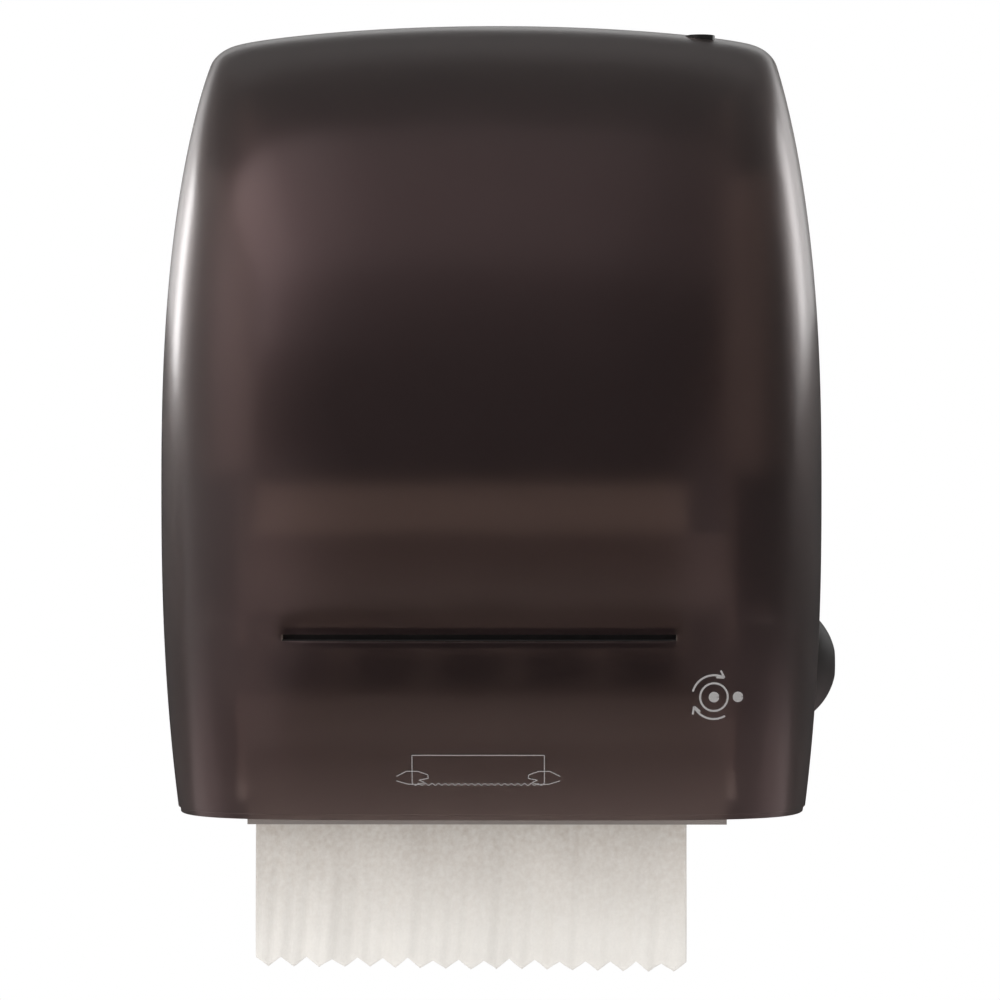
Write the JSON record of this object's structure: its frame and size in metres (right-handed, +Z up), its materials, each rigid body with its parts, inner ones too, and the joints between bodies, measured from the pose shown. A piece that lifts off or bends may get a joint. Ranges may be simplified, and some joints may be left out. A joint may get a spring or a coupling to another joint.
{
  "type": "roll towel dispenser",
  "caption": "Wall-mounted hands-free roll paper towel dispenser with a smoky domed cover, feed knob, auto-cut drum and a towel tail with a zigzag edge.",
  "frame": {"origin": "on the rear face that lies on the wall, at the centre of the four wall screw holes", "axes": "+X to the right seen from the front, -Y out of the wall towards the user, +Z up"},
  "size_m": [0.3146, 0.235, 0.445],
  "materials": {
    "tray_black": "fine grain",
    "cover_smoke": "satin smoky",
    "plate_grey": "satin",
    "guide_grey": "satin",
    "hub_black": "satin",
    "drum_grey": "satin",
    "grip_rubber": "matte",
    "acetal": "satin",
    "steel": "brushed",
    "spring_steel": "drawn wire",
    "blade_steel": "ground",
    "lock_black": "satin",
    "housing_black": "satin",
    "knob_black": "fine grain",
    "towel_paper": "soft crepe",
    "core_card": "raw"
  },
  "bodies": {
    "housing": {"back_tray": "tray_black", "left_side_plate": "plate_grey", "right_side_plate": "plate_grey", "side_plate_screws": "steel", "hinge_pins": "steel", "latch_striker": "steel", "striker_screws": "steel", "left_hub_pin": "steel", "arm_pivot_pin": "steel", "arm_spring": "spring_steel", "knife_cam": "acetal", "left_bush": "acetal", "right_bush": "acetal", "one_way_clutch": "steel", "drive_housing": "housing_black", "housing_screws": "steel", "return_spring": "spring_steel", "spring_post": "steel", "pinch_pivot_pins": "steel", "pinch_springs": "spring_steel", "stub_cradle": "plate_grey", "exit_guide": "guide_grey", "bottom_pan": "plate_grey", "towel_sheet": "towel_paper"},
    "cover": {"front_cover": "cover_smoke"},
    "lock": {"lock_barrel": "lock_black", "latch_cam": "steel", "latch_screw": "steel"},
    "roll_arm": {"right_roll_arm": "hub_black"},
    "right_hub": {"right_roll_hub": "hub_black"},
    "left_hub": {"left_roll_hub": "hub_black"},
    "drum": {"drum_shaft": "steel", "feed_drum": "drum_grey", "drum_left_cap": "drum_grey", "drum_right_cap": "drum_grey", "drum_grip_bands": "grip_rubber", "crank_disc": "drum_grey", "crank_pin": "steel", "feed_knob": "knob_black", "knob_screw": "steel"},
    "knife": {"knife_rod": "steel", "knife_carrier": "hub_black", "knife_blade": "blade_steel", "blade_screws": "steel", "knife_crank": "steel"},
    "roller": {"cam_roller": "acetal"},
    "pinch_frame": {"left_pinch_lever": "hub_black", "right_pinch_lever": "hub_black"},
    "pinch_roller": {"pinch_shaft": "steel", "pinch_rollers": "grip_rubber"},
    "stub_roll": {"stub_towel_roll": "towel_paper", "roll_core": "core_card"}
  },
  "joints": [
    {"name": "cover_hinge", "type": "hinge", "parent": "housing", "child": "cover", "pos_m": [0, -0.054, -0.173], "axis": [1, 0, 0], "range_deg": [0, 95]},
    {"name": "lock_turn", "type": "hinge", "parent": "cover", "child": "lock", "pos_m": [0.098, -0.09, 0.15], "axis": [0, 0, -1], "range_deg": [0, 90]},
    {"name": "roll_arm_flex", "type": "hinge", "parent": "housing", "child": "roll_arm", "pos_m": [0.097, -0.017, 0.056], "axis": [0, 0, 1], "range_deg": [0, 5], "stiffness_Nm_per_rad": 4, "springref_deg": -5.73, "deforming": ["arm_spring"]},
    {"name": "right_hub_spin", "type": "hinge", "parent": "roll_arm", "child": "right_hub", "pos_m": [0.088, -0.112, 0.056], "axis": [1, 0, 0], "continuous": true},
    {"name": "left_hub_spin", "type": "hinge", "parent": "housing", "child": "left_hub", "pos_m": [-0.105, -0.112, 0.056], "axis": [1, 0, 0], "continuous": true},
    {"name": "drum_spin", "type": "hinge", "parent": "housing", "child": "drum", "pos_m": [0, -0.105, -0.11838], "axis": [1, 0, 0], "continuous": true, "deforming": ["return_spring"]},
    {"name": "knife_swing", "type": "hinge", "parent": "drum", "child": "knife", "pos_m": [0, -0.08791, -0.14195], "axis": [1, 0, 0], "range_deg": [0, 48], "stiffness_Nm_per_rad": 0.08, "springref_deg": -28.65},
    {"name": "cam_roller_spin", "type": "hinge", "parent": "knife", "child": "roller", "pos_m": [0.103, -0.07578, -0.13495], "axis": [1, 0, 0], "continuous": true},
    {"name": "pinch_swing", "type": "hinge", "parent": "housing", "child": "pinch_frame", "pos_m": [0, -0.1787, -0.09338], "axis": [-1, 0, 0], "range_deg": [0, 6], "stiffness_Nm_per_rad": 4, "springref_deg": -6.88, "deforming": ["pinch_springs"]},
    {"name": "pinch_roller_spin", "type": "hinge", "parent": "pinch_frame", "child": "pinch_roller", "pos_m": [0, -0.1627, -0.11838], "axis": [1, 0, 0], "continuous": true},
    {"name": "stub_roll_spin", "type": "hinge", "parent": "housing", "child": "stub_roll", "pos_m": [0, -0.16296, -0.06338], "axis": [1, 0, 0], "continuous": true}
  ],
  "couplings": [
    {"joint": "pinch_roller_spin", "follows": "drum_spin", "ratio": -6.0625},
    {"joint": "stub_roll_spin", "follows": "drum_spin", "ratio": -1.6724}
  ]
}
